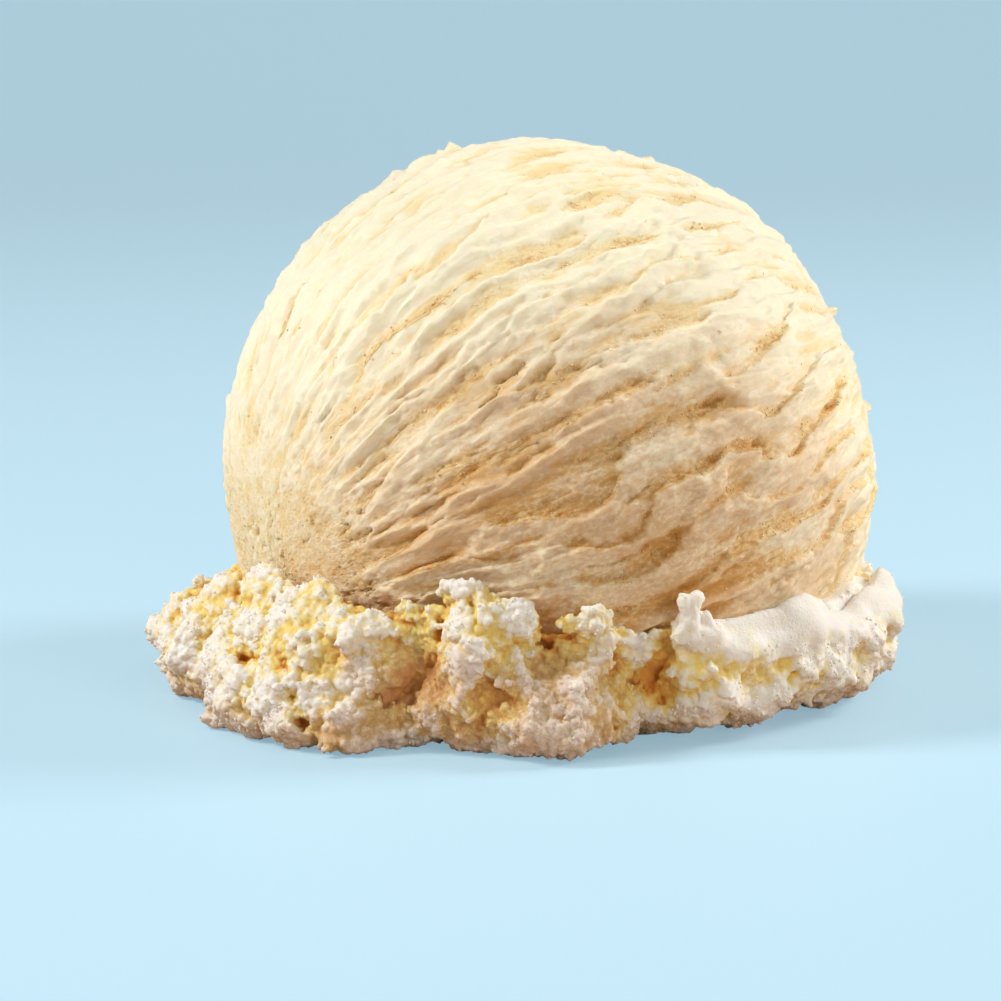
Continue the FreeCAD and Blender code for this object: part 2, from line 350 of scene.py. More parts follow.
def foam_group():
    group, given = sized_tree("frozen_foam", [(*row, None) for row in FOAM_INPUTS], "ShaderNodeTree")
    group.interface.new_socket("Color", in_out="OUTPUT", socket_type="NodeSocketColor")
    group.interface.new_socket("Height", in_out="OUTPUT", socket_type="NodeSocketFloat")
    fine = noise(given["Place"], given["Grain Size"], 4.0, 0.62)
    grit = noise(given["Place"], given["Grain Size"] * 3.0, 3.0, 0.6)
    broad = noise(given["Place"], given["Blotch Size"], 3.0)
    # Streaks are the lines where a noise crosses its middle. The crests are smoother than the hollows.
    thread = hills(given["Place"] * (1.0, 1.0, 0.5), given["Streak Size"], 3.0, 0.6).math("ABSOLUTE")
    streak = smooth_step(thread, 0.55, 0.0) - 0.4
    rough = blend(smooth_step(given["Relief"], 0.25, 0.70), 1.0, given["Crest Grain"])
    speckle = (fine - 0.5) * given["Speckle"] * rough
    level = given["Relief"] + speckle + (broad - 0.5) * given["Blotches"] + streak * given["Streaks"]
    tone = mixed(smooth_step(level, 0.02, given["Middle"]), given["Hollow"], given["Body"])
    tone = mixed(smooth_step(level, given["Middle"], 0.95), tone, given["Crest"])
    # The painted shade shows in patches, and less on the crests, which stand up into the light.
    damp = given["Damp"] * smooth_step(fine + broad, 1.45, 0.80)
    damp = damp * blend(smooth_step(level, given["Middle"], 1.0), 1.0, 0.74)
    tone = mixed(damp, tone, given["Damp Color"])
    height = (fine + grit * 0.6) * rough + streak * given["Streaks"]
    done = group.nodes.new("NodeGroupOutput")
    group.links.new(tone.socket, done.inputs["Color"])
    group.links.new(height.socket, done.inputs["Height"])
    return group


FOAM = foam_group()
print("group", FOAM.name, "has", len(FOAM_INPUTS), "inputs and", len(FOAM.nodes), "nodes")

# %% A finish from the group
GLOW_RADIUS = (1.0, 0.62, 0.30)         # red light goes furthest in cream, so thin edges glow warm
ICE_GLOSS = 0.3


def foam_material(name, place, numbers, colours, bump, roughness, glow, glow_depth=1.0 * MM):
    """A finish of frozen foam: place reads the pattern's coordinates, the rest are the group's values."""
    material = bpy.data.materials.new(name)
    material.use_nodes = True
    tree = material.node_tree
    shader = tree.nodes["Principled BSDF"]
    look = tree.nodes.new("ShaderNodeGroup")
    look.node_tree = FOAM
    for label, value in numbers.items():
        look.inputs[label].default_value = value
    for label, value in colours.items():
        look.inputs[label].default_value = (*value, 1.0)
    tree.links.new(place(tree).socket, look.inputs["Place"])
    # The relief and the painted shade are read from values that each mesh carries.
    for label, attribute in (("Relief", "relief"), ("Damp", "damp")):
        read = node(tree, "ShaderNodeAttribute", output="Fac", attribute_name=attribute)
        tree.links.new(read.socket, look.inputs[label])
    tree.links.new(look.outputs["Color"], shader.inputs["Base Color"])
    raised = node(tree, "ShaderNodeBump", output="Normal",
                  named={"Height": Wire(tree, look.outputs["Height"]), "Strength": 1.0, "Distance": bump})
    tree.links.new(raised.socket, shader.inputs["Normal"])
    shader.inputs["Roughness"].default_value = roughness
    shader.inputs["Specular IOR Level"].default_value = ICE_GLOSS
    shader.inputs["Subsurface Weight"].default_value = glow
    shader.inputs["Subsurface Radius"].default_value = GLOW_RADIUS
    shader.inputs["Subsurface Scale"].default_value = glow_depth
    print("finish", name)
    return material


def along_the_furrows(tree):
    """The ball carries its own coordinates, drawn out along the furrows."""
    return node(tree, "ShaderNodeAttribute", output="Vector", attribute_name="drawn_out")


def straight_in_space(tree):
    return node(tree, "ShaderNodeTexCoord", output="Object")


# %% The finishes of the ball and its crumbs
BALL_NUMBERS = {"Middle": 0.50, "Grain Size": 0.42 * MM, "Speckle": 0.85, "Blotches": 0.35,
                "Blotch Size": 7 * MM, "Streaks": 0.30, "Streak Size": 2.6 * MM, "Crest Grain": 0.22}
BALL_COLOURS = {"Crest": (0.97, 0.90, 0.71), "Body": (0.93, 0.75, 0.42), "Hollow": (0.74, 0.42, 0.14),
                "Damp Color": (0.63, 0.30, 0.06)}
# Frost and loose crumbs are paler than their ground, partly their own colour and partly painted light in
# place of the glow through the cream that these small opaque shapes don't get.
SCATTERED_MIDDLE = 0.25                 # what is scattered is paler than the ground it lies on
SCRAPED_VANILLA = foam_material(
    "scraped_vanilla", along_the_furrows, BALL_NUMBERS, BALL_COLOURS,
    bump=0.20 * MM, roughness=0.55, glow=0.40, glow_depth=1.2 * MM)
VANILLA_CRUMBS = foam_material(
    "vanilla_crumbs", along_the_furrows, {**BALL_NUMBERS, "Middle": SCATTERED_MIDDLE}, BALL_COLOURS,
    bump=0.05 * MM, roughness=0.6, glow=0.0)

# %% The finishes of the skirt and its frost
SKIRT_NUMBERS = {"Middle": 0.46, "Grain Size": 0.28 * MM, "Speckle": 0.30, "Blotches": 0.80,
                 "Blotch Size": 4.0 * MM, "Streaks": 0.0, "Streak Size": 1.0 * MM, "Crest Grain": 0.8}
SKIRT_COLOURS = {"Crest": (0.98, 0.94, 0.88), "Body": (0.95, 0.74, 0.24), "Hollow": (0.80, 0.36, 0.06),
                 "Damp Color": (0.60, 0.36, 0.20)}
TORN_VANILLA = foam_material(
    "torn_vanilla", straight_in_space, SKIRT_NUMBERS, SKIRT_COLOURS,
    bump=0.14 * MM, roughness=0.5, glow=0.40, glow_depth=1.0 * MM)
FROST = foam_material(
    "frost", straight_in_space, {**SKIRT_NUMBERS, "Middle": SCATTERED_MIDDLE}, SKIRT_COLOURS,
    bump=0.05 * MM, roughness=0.4, glow=0.0)

# %% [markdown]
# ## Growing a mesh from a tree
#
# A geometry tree only makes shapes while its modifier runs. The pieces are kept as plain
# meshes, so each tree is run once on an empty carrier, its result is kept, and the carrier goes. Where a
# tree makes more triangles than the limit set below, the least needed ones are taken out afterwards, which
# keeps sharp crests better than a coarser start would.

# %% End a tree and run it
def end_tree(tree, geometry, material):
    """Ends a geometry tree in Realize Instances and Set Material."""
    tree.interface.new_socket("Geometry", in_out="OUTPUT", socket_type="NodeSocketGeometry")
    real = node(tree, "GeometryNodeRealizeInstances", geometry)
    done = node(tree, "GeometryNodeSetMaterial", named={"Geometry": real, "Material": material})
    tree.links.new(done.socket, tree.nodes.new("NodeGroupOutput").inputs["Geometry"])
    print("tree", tree.name, "has", len(tree.nodes), "nodes")


def stored(tree, geometry, kind, name, value):
    """The geometry with a value kept on its points."""
    return node(tree, "GeometryNodeStoreNamedAttribute", data_type=kind, domain="POINT",
                named={"Geometry": geometry, "Name": name, "Value": value})


def result_mesh(thing):
    """What an object's modifiers make of it, as a new plain mesh."""
    bpy.context.view_layer.update()
    evaluated = thing.evaluated_get(bpy.context.evaluated_depsgraph_get())
    return bpy.data.meshes.new_from_object(evaluated)


def grow(name, tree, values):
    """Runs a geometry tree with its inputs set, and keeps the result as a plain mesh object."""
    carrier = bpy.data.objects.new(name + "_tree", bpy.data.meshes.new(name + "_tree"))
    bpy.context.scene.collection.objects.link(carrier)
    modifier = carrier.modifiers.new("Grow", "NODES")
    modifier.node_group = tree
    for item in tree.interface.items_tree:
        if item.in_out == "INPUT" and item.name in values:
            modifier[item.identifier] = values[item.name]
    mesh = result_mesh(carrier)
    mesh.name = name
    bpy.data.objects.remove(carrier)
    piece = bpy.data.objects.new(name, mesh)
    bpy.context.scene.collection.objects.link(piece)
    return piece


# %% Thin a piece and hand it to the frame
PIECE_LIMIT = 195000                    # triangles


def triangles(piece):
    return sum(len(face.vertices) - 2 for face in piece.data.polygons)


def thinned(piece, limit):
    """Collapses the least needed edges until the piece has no more triangles than the limit."""
    count = triangles(piece)
    if count > limit:
        modifier = piece.modifiers.new("Thin", "DECIMATE")
        modifier.ratio = limit / count
        mesh = result_mesh(piece)
        piece.modifiers.clear()
        old = piece.data
        piece.data = mesh
        bpy.data.meshes.remove(old)
        mesh.name = piece.name
    for face in piece.data.polygons:
        face.use_smooth = True
    print(piece.name, count, "->", triangles(piece), "triangles")
    return piece


def dressed(piece):
    """The piece belongs to the scoop's one body and shows in place of its solid."""
    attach(piece, "root")
    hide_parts("ice_cream_scoop")


print("a piece may have", PIECE_LIMIT, "triangles")

# %% [markdown]
# ## The ball
#
# A ball like this could be sculpted by hand, but its marks follow a rule: the blade of the scoop turns
# about one axis, so every furrow is part of a half circle from one end of that axis to the other. A
# sphere whose poles lie on the axis has its own edges along those half circles, so the tree starts from
# one and only moves its points. It works in millimetres on a ball that stands upright on its axis, and
# turns it into place at the end.

# %% The sizes of the ball
BALL_INPUTS = (
    ("Radius", "NodeSocketFloat", BALL_RADIUS), ("Centre Height", "NodeSocketFloat", BALL_CENTRE_HEIGHT),
    ("Meridians", "NodeSocketInt", 700), ("Parallels", "NodeSocketInt", 320),
    ("Ledges", "NodeSocketFloat", 42.0), ("Ledge Depth", "NodeSocketFloat", 0.55),
    ("Overhang", "NodeSocketFloat", 0.55), ("Crest Height", "NodeSocketFloat", 0.60),
    ("Wander", "NodeSocketFloat", 1.6), ("Raggedness", "NodeSocketFloat", 0.42),
    ("Pit Depth", "NodeSocketFloat", 0.60), ("Grain Height", "NodeSocketFloat", 0.20),
    ("Lowest Shade", "NodeSocketFloat", -0.50), ("Highest Shade", "NodeSocketFloat", 1.30),
    ("Damp Side", "NodeSocketVector", None), ("Up", "NodeSocketVector", None),
    ("Bulge", "NodeSocketFloat", 0.7), ("Bulge Side", "NodeSocketVector", None),
    ("Furrows Begin", "NodeSocketFloat", 5.0), ("Furrows Full", "NodeSocketFloat", 9.0),
    ("Wander Size", "NodeSocketFloat", 15.0), ("Swell Size", "NodeSocketFloat", 16.0),
    ("Swell", "NodeSocketFloat", 0.45), ("Sink", "NodeSocketFloat", 1.0),
    ("Turn", "NodeSocketVector", None), ("Foot", "NodeSocketFloat", 0.4),
    ("Material", "NodeSocketMaterial", None),
)
LEDGE_KINDS = (         # share of the count, shift, patch size, where a patch begins and is full, depth
    (1.0, 0.0, 9.0, 0.42, 0.60, 1.0),
    (2.1, 0.37, 5.0, 0.44, 0.62, 0.5),
)
CREST_KINDS = (         # size, sharpness, stretch and height
    (4.2, 4.2, 5.0, 1.0),
    (2.1, 3.0, 5.0, 0.60),
    (1.0, 2.2, 3.0, 0.36),
)


# %% Places on the ball
class BallPlaces:
    """The places and directions that every pattern of the ball is worked out from, in millimetres."""

    def __init__(self, tree, given):
        self.tree = tree
        self.given = given
        self.out = node(tree, "GeometryNodeInputPosition").vector_math("NORMALIZE")
        self.x, self.y, z = xyz(self.out)
        self.place = self.out * given["Radius"]
        self.turn = self.y.math("ARCTAN2", self.x)
        self.along = z.math("ARCCOSINE") * given["Radius"]
        from_axis = (self.x * self.x + self.y * self.y).math("SQRT")
        # Furrows fade out towards the ends of the axis, and where the ball goes down into the skirt.
        self.near_axis = smooth_step(from_axis, 0.30, 0.78)
        above_foot = dot(self.out, given["Up"]) * given["Radius"] + given["Centre Height"]
        self.shown = smooth_step(above_foot, given["Furrows Begin"], given["Furrows Full"])
        self.drum = given["Radius"] / from_axis.math("SMOOTH_MAX", 0.5, 0.3)
        # Furrows wander a little, more across than along.
        self.drift = hills_vector(self.place, given["Wander Size"]) * given["Wander"]
        self.ragged = hills_vector(self.drawn_out(1.6), 1.5) * given["Raggedness"]
        # Ledges bend in long sweeps and fray along their edges.
        fray = hills(self.drawn_out(1.3) + self.drift, 0.9, 3.0, 0.65) * 0.10
        fray = fray + hills(self.drawn_out(2.5), 3.0, 2.0) * 0.30
        self.sweep = hills(self.place, given["Wander Size"], 1.0) + fray

    def drawn_out(self, stretch):
        """Round the axis as on a drum, and squeezed along it, so that a pattern comes out stretched."""
        return joined(self.tree, self.x * self.drum, self.y * self.drum, self.along / stretch)


print("the ball's tree has", len(BALL_INPUTS), "inputs")

# %% [markdown]
# ## Furrows, pits and torn lips
#
# Cold cream doesn't cut cleanly. The blade drags it into thin crests with broad troughs between them, it
# tears in ledges that rise slowly and drop at once, and the troughs are full of pits where air was. Here
# and there a lip stands clear of the ball and breaks its outline. Each kind is a field of its own, so
# each can be drawn, sized and left out by itself.

# %% Ledges and crests
def ledges(ball, count, shift, patch_size, begins, full):
    """Torn ledges: a slow rise and a sudden drop, over and over round the axis, in patches."""
    step = (ball.turn * count / math.tau + ball.sweep + shift).math("FRACT")
    patch = smooth_step(noise(ball.drawn_out(2.2), patch_size, 1.0), begins, full)
    rise = smooth_step(step, 0.0, 0.80) * smooth_step(step, 1.0, 0.87) * patch
    # under marks where a ledge drops and the trough below it, where the colour takes painted shade.
    under = (smooth_step(step, 0.86, 0.95) + smooth_step(step, 0.35, 0.0)) * patch
    return rise, under


def crests(ball, size, sharpness, stretch):
    """Thin lines that branch and vanish between broad troughs."""
    stirred = ball.drawn_out(stretch) + ball.drift + ball.ragged
    crossing = hills(stirred, size, 1.0).math("ABSOLUTE")
    return (1.0 - crossing).math("MAXIMUM", 0.0) ** sharpness


# %% Pits, grain and lips
def pits_and_grain(ball, furrow):
    """What lies in the troughs: how deep the pits go, and a grain that both raises and lowers."""
    hollow_share = 1.0 - smooth_step(furrow, 0.25, 0.85)
    clusters = smooth_step(noise(ball.drawn_out(1.6), 8.0, 2.0), 0.44, 0.62) * hollow_share
    pits = smooth_step(noise(ball.drawn_out(2.0) + ball.ragged, 2.0, 4.0, 0.72), 0.52, 0.68) * clusters
    pinholes = smooth_step(noise(ball.drawn_out(1.5), 0.8, 2.0, 0.6), 0.60, 0.72) * blend(clusters, 0.2, 0.9)
    grain = hills(ball.drawn_out(1.6), 0.85, 3.0, 0.7) * blend(hollow_share, 0.4, 1.0)
    return pits + pinholes * 0.4, grain


def torn_lips(ball, lips):
    """Each lip is its place on the ball, the way it faces, its height and its width."""
    total = 0.0
    for spot_on_ball, facing, rise, width in lips:
        onward = spot_on_ball.cross(facing)
        across = dot(ball.place, facing) + hills(ball.drawn_out(1.3), 1.2, 3.0) * 0.2
        away = length(ball.out - spot_on_ball) * ball.given["Radius"]
        near = smooth_step(away, 2.0 + width * 1.6, 0.6)
        near = near * smooth_step(dot(ball.place, onward).math("ABSOLUTE"), 1.2 + width * 1.5, 0.2)
        torn = near * blend(noise(ball.place, 1.6, 3.0, 0.6), 0.1, 1.9) * rise
        total = total + smooth_step(across, -width, 0.2) * smooth_step(across, 0.45, 0.15) * torn
    return total


# %% The tree of the ball
def ball_relief(ball):
    """Height by furrows, pits and grain, then the ledges alone and the undercut below them."""
    given = ball.given
    ledge = undercut = crest = 0.0
    for share, shift, patch_size, begins, full, depth in LEDGE_KINDS:
        rise, under = ledges(ball, given["Ledges"] * share, shift, patch_size, begins, full)
        ledge = ledge + rise * depth
        undercut = undercut + under * depth
    for size, sharpness, stretch, height in CREST_KINDS:
        crest = crest + crests(ball, size, sharpness, stretch) * height
    furrow = (ledge * given["Ledge Depth"] + crest * given["Crest Height"]) * ball.near_axis
    pits, grain = pits_and_grain(ball, furrow)
    # Round the ends of the axis there is only soft unevenness.
    soft = (hills(ball.place, 3.5, 4.0, 0.62) * 0.26 + 0.50) * (1.0 - ball.near_axis)
    relief = furrow + soft + grain * given["Grain Height"] - pits * given["Pit Depth"]
    return relief, ledge, undercut * ball.near_axis


def pressed_flat(tree, geometry, foot):
    """Everything that would reach under the foot is pressed flat onto it and thinned out there."""
    x, y, z = xyz(node(tree, "GeometryNodeInputPosition"))
    pressed = node(tree, "GeometryNodeSetPosition", named={
        "Geometry": geometry, "Position": joined(tree, x, y, z.math("MAXIMUM", foot))})
    return node(tree, "GeometryNodeMergeByDistance", named={
        "Geometry": pressed, "Selection": z.math("LESS_THAN", foot + 0.01 * MM), "Distance": 2.5 * MM})


def ball_tree(lips):
    """The scraped ball with its torn lips."""
    tree, given = sized_tree("scraped_ball", BALL_INPUTS)
    sphere = node(tree, "GeometryNodeMeshUVSphere", given["Meridians"], given["Parallels"], 1.0)
    ball = BallPlaces(tree, given)
    relief, ledge, undercut = ball_relief(ball)
    swell = hills(ball.place, given["Swell Size"], 1.0) * given["Swell"]
    bulge = dot(ball.out, given["Bulge Side"]) * given["Bulge"]
    height = relief * ball.shown + swell + bulge + torn_lips(ball, lips) - given["Sink"]
    # Ledges also lean over sideways, the way the blade went.
    east = joined(tree, ball.y * -1.0, ball.x, 0.0).vector_math("NORMALIZE")
    sideways = ledge * given["Ledge Depth"] * given["Overhang"] * ball.near_axis * ball.shown
    moved = ball.out * (given["Radius"] + height) + east * sideways
    skin = node(tree, "GeometryNodeSetPosition", named={"Geometry": sphere, "Position": moved})
    # Colour by height: hollows and ledge undersides are darker, partly the cream's own tone and partly
    # painted shade.
    shade = smooth_step(relief - undercut * 0.40, given["Lowest Shade"], given["Highest Shade"])
    # Painted shade: the lower front of the ball, which faces away from the lamps, is painted caramel.
    damp = smooth_step(dot(ball.out, given["Damp Side"]), 0.30, 0.97) * 0.9
    skin = stored(tree, skin, "FLOAT", "relief", shade)
    skin = stored(tree, skin, "FLOAT", "damp", damp)
    skin = stored(tree, skin, "FLOAT_VECTOR", "drawn_out", ball.drawn_out(1.5) * MM)
    placed = node(tree, "GeometryNodeTransform", named={
        "Geometry": skin, "Rotation": given["Turn"], "Scale": (MM, MM, MM),
        "Translation": joined(tree, 0.0, 0.0, given["Centre Height"] * MM)})
    end_tree(tree, pressed_flat(tree, placed, given["Foot"] * MM), given["Material"])
    return tree


# %% The axis of the scoop and the sides of the ball
def direction(azimuth, rise):
    """The unit vector of an azimuth and a rise in degrees."""
    around, lift = math.radians(azimuth), math.radians(rise)
    return Vector((math.cos(lift) * math.cos(around), math.cos(lift) * math.sin(around), math.sin(lift)))


SCRAPE_AXIS = direction(207.0, -19.0)           # the blade turned about it, and the furrows run to it
BULGE_SIDE = direction(190, 50)
# The side of the ball that is painted darker as shade, low on the front.
PAINTED_SHADE_SIDE = direction(280, -22)
axis_turn = SCRAPE_AXIS.to_track_quat("Z", "Y")
to_axis = axis_turn.inverted()
print("furrows run towards", [round(value, 2) for value in SCRAPE_AXIS])

# %% Where the torn lips stand
LIPS = ((117, 1, 1.1, 2.2), (111, 1, 1.4, 1.8), (107, 1, 1.5, 1.1), (98, 1, 0.7, 2.0),
        (73, -1, 0.8, 1.2), (66, -1, 0.6, 0.9), (55, -1, 0.9, 0.6), (30, -1, 1.2, 0.7),
        (12, -1, 1.1, 0.7), (-2, -1, 0.8, 1.0))     # angle up from the right, way faced, height, width in mm


def placed_lips():
    """The torn lips stand where the outline of the ball is seen from the front."""
    found = []
    for angle, way, rise, width in LIPS:
        clock = math.radians(angle)
        spot_on_ball = to_axis @ (camera_turn @ Vector((math.cos(clock), math.sin(clock), 0.0)))
        onward = to_axis @ (camera_turn @ Vector((-math.sin(clock), math.cos(clock), 0.0)))
        facing = Vector((-spot_on_ball.y, spot_on_ball.x, 0.0)).normalized()
        same_way = facing.dot(onward) > 0
        found.append((spot_on_ball, facing * (way if same_way else -way), rise, width))
    return found


print(len(LIPS), "torn lips")

# %% Grow the ball
BALL_LIMIT = 190000                     # triangles
scraped_ball = grow("scraped_ball", ball_tree(placed_lips()), {
    "Meridians": 1100,
    "Parallels": 500,
    "Turn": axis_turn.to_euler(),
    "Bulge Side": to_axis @ BULGE_SIDE,
    "Damp Side": to_axis @ PAINTED_SHADE_SIDE,
    "Up": to_axis @ Vector((0, 0, 1)),
    "Material": SCRAPED_VANILLA,
})
thinned(scraped_ball, BALL_LIMIT)
dressed(scraped_ball)

# %% [markdown]
# ## The skirt
#
# The skirt is torn foam, and no surface that is only pushed in and out can look like it, because its
# crumbs overhang and its pores run in sideways. So it is made as a volume. A block of little cells asks
# at each cell how far it is from the solid model, adds knobs, takes away pores, and fills the cell if
# what is left is inside. The mesh is then drawn round the filled cells. The block would be too fine for
# one piece, so the skirt is made in eight pieces that meet where the real one is torn.

# %% A light copy of the solid model to measure from
import bmesh

GUIDE_TOP = 24 * MM
GUIDE_TRIANGLES = 60000


def skirt_guide():
    """The lower part of the solid model, merged and thinned, for the skirt's cells to measure from."""
    shape = bmesh.new()
    shape.from_mesh(cad_scoop.data)
    bmesh.ops.remove_doubles(shape, verts=shape.verts, dist=0.002 * MM)
    above = [face for face in shape.faces if face.calc_center_median().z > GUIDE_TOP]
    bmesh.ops.delete(shape, geom=above, context="FACES")
    mesh = bpy.data.meshes.new("skirt_guide")
    shape.to_mesh(mesh)
    shape.free()
    guide = bpy.data.objects.new("skirt_guide", mesh)
    bpy.context.scene.collection.objects.link(guide)
    return thinned(guide, GUIDE_TRIANGLES)


guide = skirt_guide()

# %% The sizes of the skirt
SKIRT_INPUTS = (
    ("Guide", "NodeSocketObject", None), ("Low Corner", "NodeSocketVector", None),
    ("High Corner", "NodeSocketVector", None), ("Cell", "NodeSocketFloat", 0.25),
    ("Start Side", "NodeSocketVector", None), ("End Side", "NodeSocketVector", None),
    ("Film Side", "NodeSocketVector", None), ("Shaded Side", "NodeSocketVector", None),
    ("Knob Size", "NodeSocketFloat", 3.6), ("Knob Height", "NodeSocketFloat", 1.5),
    ("Crumb Size", "NodeSocketFloat", 0.95), ("Crumb Height", "NodeSocketFloat", 0.62),
    ("Pore Size", "NodeSocketFloat", 4.2), ("Pore Depth", "NodeSocketFloat", 2.0),
    ("Film Begins", "NodeSocketFloat", 7.0), ("Film Full", "NodeSocketFloat", 10.5),
    ("Wave Size", "NodeSocketFloat", 5.0), ("Wave Height", "NodeSocketFloat", 1.2),
    ("Draw Back", "NodeSocketFloat", 1.6), ("Inside Ball", "NodeSocketFloat", -1.2),
    ("Damp Top", "NodeSocketFloat", 5.0), ("Overlap", "NodeSocketFloat", 0.6),
    ("Backing Gap", "NodeSocketFloat", 0.9), ("Backing Top", "NodeSocketFloat", 11.5),
    ("Shoulder Left", "NodeSocketVector", None), ("Shoulder Right", "NodeSocketVector", None),
    ("Peg Foot", "NodeSocketVector", None), ("Peg Neck", "NodeSocketVector", None),
    ("Peg Left", "NodeSocketVector", None), ("Peg Right", "NodeSocketVector", None),
    ("Cone Foot", "NodeSocketVector", None), ("Cone Tip", "NodeSocketVector", None),
    ("Peg Radius", "NodeSocketFloat", 0.95),
    ("Ball Radius", "NodeSocketFloat", BALL_RADIUS), ("Ball Height", "NodeSocketFloat", BALL_CENTRE_HEIGHT),
    ("Foot", "NodeSocketFloat", 0.1), ("Adaptivity", "NodeSocketFloat", 0.02),
    ("Smallest Part", "NodeSocketFloat", 900.0), ("Material", "NodeSocketMaterial", None),
)
PEG_RODS = (                            # from, to and share of the peg's radius
    ("Shoulder Left", "Shoulder Right", 1.15), ("Peg Foot", "Peg Neck", 1.0),
    ("Peg Neck", "Peg Left", 0.74), ("Peg Neck", "Peg Right", 0.78), ("Cone Foot", "Cone Tip", 0.5),
)
print("the skirt's tree has", len(SKIRT_INPUTS), "inputs")


# %% Places in the skirt
def cells(place, size):
    """Distance to the nearest of some scattered points, from 0 on a point to about 1 between them."""
    return node(place.tree, "ShaderNodeTexVoronoi", output="Distance",
                named={"Vector": place, "Scale": 1.0 / size})


class SkirtPlaces:
    """The places that the skirt's shape and colour are worked out from, in millimetres."""

    def __init__(self, tree, given):
        self.tree = tree
        self.given = given
        self.model = node(tree, "GeometryNodeObjectInfo", output="Geometry", named={"Object": given["Guide"]})
        self.here = node(tree, "GeometryNodeInputPosition")
        self.place = self.here * (1 / MM)
        x, y, self.z = xyz(self.place)
        self.level = joined(tree, x, y, 0.0).vector_math("NORMALIZE")
        # The smooth film of melt on one side of the lip.
        self.melted = smooth_step(dot(self.level, given["Film Side"]), 0.80, 0.93)
        self.film = self.melted * smooth_step(self.z, given["Film Begins"], given["Film Full"])

    def signed_depth(self):
        """Millimetres outside the solid model, less than nothing inside it."""
        nearest = node(self.tree, "GeometryNodeProximity", output="Position", target_element="FACES",
                       named={"Geometry": self.model, "Sample Position": self.here})
        facing = node(self.tree, "GeometryNodeSampleNearestSurface", data_type="FLOAT_VECTOR", output="Value",
                      named={"Mesh": self.model, "Value": node(self.tree, "GeometryNodeInputNormal"),
                             "Sample Position": self.here})
        away = self.here - nearest
        return length(away) * dot(away, facing).math("SIGN") * (1 / MM)

    def over_ball(self):
        """Millimetres outside the ball."""
        centre = joined(self.tree, 0.0, 0.0, self.given["Ball Height"])
        return length(self.place - centre) - self.given["Ball Radius"]


# %% Knobs, pores and the peg
def knobs_and_pores(skirt):
    """Knobs in two sizes less pores, on a place that is stirred a little so that no cells show."""
    given = skirt.given
    stirred = skirt.place + hills_vector(skirt.place, 2.4) * 0.7
    knobs = (0.42 - cells(stirred, given["Knob Size"])) * given["Knob Height"]
    knobs = knobs + (0.45 - cells(stirred, given["Knob Size"] * 0.45)) * given["Knob Height"] * 0.5
    pores = smooth_step(noise(stirred, given["Pore Size"], 2.0, 0.55), 0.48, 0.78) * given["Pore Depth"]
    return knobs, pores


def with_peg(skirt, outside):
    """A forked peg of melt stands up from the lip, made of rods that run into each other."""
    for start, end, size in PEG_RODS:
        base = skirt.given[start]
        rod = skirt.given[end] - base
        share = (dot(skirt.place - base, rod) / dot(rod, rod)).math("MAXIMUM", 0.0).math("MINIMUM", 1.0)
        from_rod = length(skirt.place - base - rod * share)
        outside = outside.math("SMOOTH_MIN", from_rod - skirt.given["Peg Radius"] * size, 0.5)
    return outside


# %% How far a cell lies outside the skirt
def outside_skirt(skirt):
    """Millimetres outside this piece of the skirt, less than nothing inside it."""
    given = skirt.given
    knobs, pores = knobs_and_pores(skirt)
    relief = (knobs - pores) * blend(skirt.film, 1.0, 0.12)
    wavy = hills(skirt.place, given["Wave Size"], 2.0) * given["Wave Height"]
    # Near the ball the skirt draws back, so that the fold between them is open and the ball shows clean.
    over_ball = skirt.over_ball()
    draw_back = (1.0 - smooth_step(over_ball, 0.3, 1.6)) * given["Draw Back"]
    outside = skirt.signed_depth() - relief + draw_back
    # Behind the tears there is still some skirt, so the ball doesn't show through them.
    backing = over_ball - given["Backing Gap"] - knobs * 0.5
    backing = backing.math("MAXIMUM", skirt.z - given["Backing Top"] + wavy)
    outside = with_peg(skirt, outside.math("SMOOTH_MIN", backing, 0.8))
    outside = outside.math("MAXIMUM", given["Inside Ball"] - over_ball)
    outside = outside.math("MAXIMUM", skirt.z * -1.0 + given["Foot"])
    # The two torn sides of this piece.
    for side, sign in (("Start Side", 1.0), ("End Side", -1.0)):
        past = dot(skirt.place, given[side]) + wavy
        outside = outside.math("MAXIMUM", past * -sign - given["Overlap"])
    return outside


# %% The skin round the filled cells
def skirt_skin(skirt):
    """Fills the cells inside, draws a mesh round them and takes away the bits that came out loose."""
    tree, given = skirt.tree, skirt.given
    filled = 0.5 - outside_skirt(skirt) / (given["Cell"] * 4.0)
    filled = filled.math("MINIMUM", 1.0).math("MAXIMUM", 0.0)
    span = xyz((given["High Corner"] - given["Low Corner"]) * (1 / (given["Cell"] * MM)))
    block = node(tree, "GeometryNodeVolumeCube", named={
        "Density": filled, "Min": given["Low Corner"], "Max": given["High Corner"],
        "Resolution X": span[0], "Resolution Y": span[1], "Resolution Z": span[2]})
    skin = node(tree, "GeometryNodeVolumeToMesh", resolution_mode="GRID",
                named={"Volume": block, "Threshold": 0.5, "Adaptivity": given["Adaptivity"]})
    island = node(tree, "GeometryNodeInputMeshIsland", output="Island Index")
    points_in_it = node(tree, "GeometryNodeAccumulateField", data_type="INT", output="Total",
                        named={"Value": 1, "Group ID": island})
    return node(tree, "GeometryNodeDeleteGeometry", named={
        "Geometry": skin, "Selection": points_in_it.math("LESS_THAN", given["Smallest Part"])})


# %% Crumbs on the skin
def crumb_heights(skirt):
    """Crumbs and the grains on them, in millimetres. They are too fine for the block of cells."""
    size, height = skirt.given["Crumb Size"], skirt.given["Crumb Height"]
    crumb_place = skirt.place + hills_vector(skirt.place, 1.1) * 0.25
    crumbs = (0.55 - cells(crumb_place, size)) * height
    grains = (0.55 - cells(crumb_place, size * 0.5)) * height * 0.5
    return crumbs + grains


